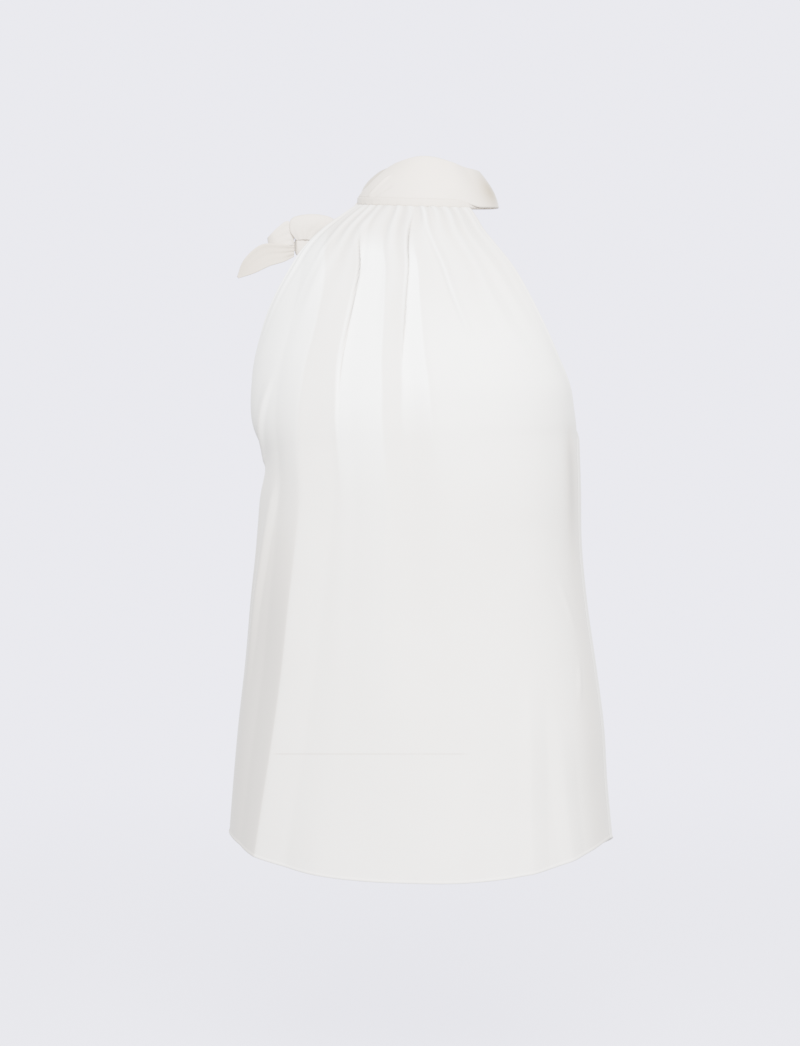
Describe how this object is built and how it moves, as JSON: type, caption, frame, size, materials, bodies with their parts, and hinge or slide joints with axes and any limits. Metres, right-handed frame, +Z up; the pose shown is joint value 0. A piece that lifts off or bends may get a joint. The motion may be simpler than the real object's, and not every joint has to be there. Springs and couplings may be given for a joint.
{
  "type": "halter top",
  "caption": "Sleeveless halter top in soft white cloth, gathered under a wide neck sash tied in a small bow at one side, flaring to a curved hem.",
  "frame": {"origin": "middle of the neck, level with the seam that joins the panels to the neck binding, where the wearer holds the top up", "axes": "+Z up along the wearer's height, +X towards the wearer's left, the front of the top faces -Y"},
  "size_m": [0.3523, 0.2585, 0.6472],
  "materials": {
    "panel_cloth": "soft white woven cloth, matt with a slight sheen",
    "sash_cloth": "the same white cloth, folded double"
  },
  "bodies": {
    "root": {"front_panel": "panel_cloth", "back_panel": "panel_cloth", "neck_binding": "sash_cloth", "sash_band": "sash_cloth", "sash_strap": "sash_cloth", "knot": "sash_cloth", "loop_outer": "sash_cloth", "loop_upper": "sash_cloth", "tail_leaf": "sash_cloth", "tail_hanging": "sash_cloth"}
  },
  "joints": []
}
